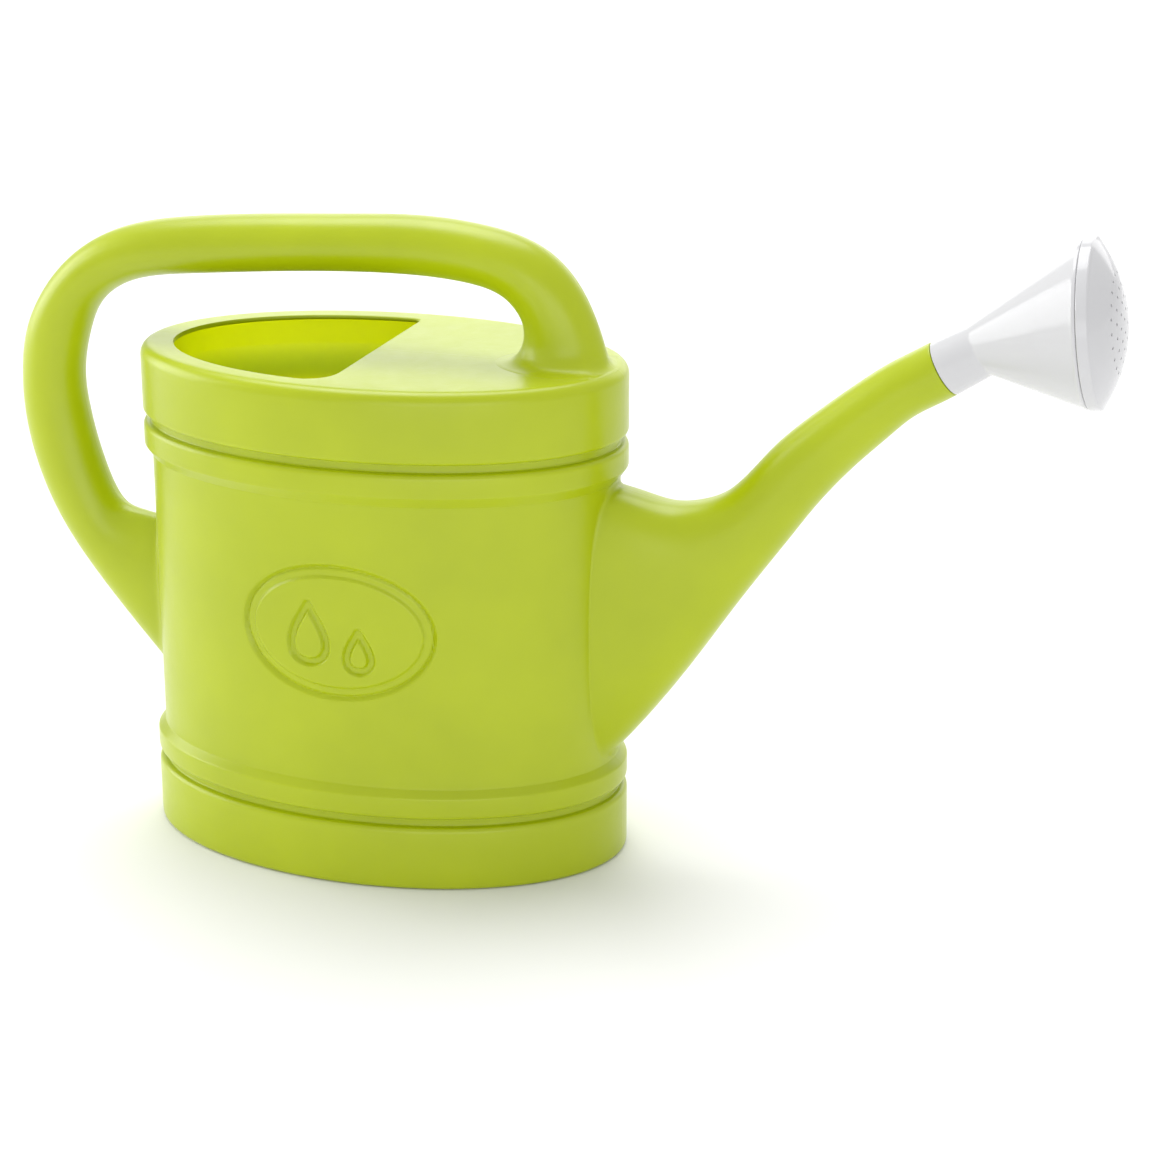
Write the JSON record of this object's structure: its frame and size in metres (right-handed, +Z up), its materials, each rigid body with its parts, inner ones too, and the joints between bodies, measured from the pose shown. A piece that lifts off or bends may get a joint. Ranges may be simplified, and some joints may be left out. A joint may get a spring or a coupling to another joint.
{
  "type": "watering can",
  "caption": "Oval garden watering can with a tube handle over an open fill mouth, a horn spout and a flared rose that turns, pulls off and opens.",
  "frame": {"origin": "middle of the tank's underside", "axes": "+X from the tank towards the spout, +Y across the tank, +Z up"},
  "size_m": [0.5273, 0.1506, 0.3123],
  "materials": {
    "can_plastic": "satin blow-moulded polyethylene",
    "rose_plastic": "gloss injection-moulded polypropylene"
  },
  "bodies": {
    "can": {"tank_base": "can_plastic", "tank_wall": "can_plastic", "tank_top": "can_plastic", "handle": "can_plastic", "spout": "can_plastic"},
    "rose_tail": {"rose_tail": "rose_plastic"},
    "rose": {"rose_cone": "rose_plastic"},
    "rose_face": {"rose_face": "rose_plastic"}
  },
  "joints": [
    {"name": "rose_pull", "type": "slide", "parent": "can", "child": "rose_tail", "axis": [0.8554, 0, 0.518], "range_m": [0, 0.06]},
    {"name": "rose_turn", "type": "hinge", "parent": "rose_tail", "child": "rose", "pos_m": [0.2631, 0, 0.2503], "axis": [0.8554, 0, 0.518], "continuous": true},
    {"name": "face_pull", "type": "slide", "parent": "rose", "child": "rose_face", "axis": [0.993, 0, 0.1184], "range_m": [0, 0.03]}
  ]
}
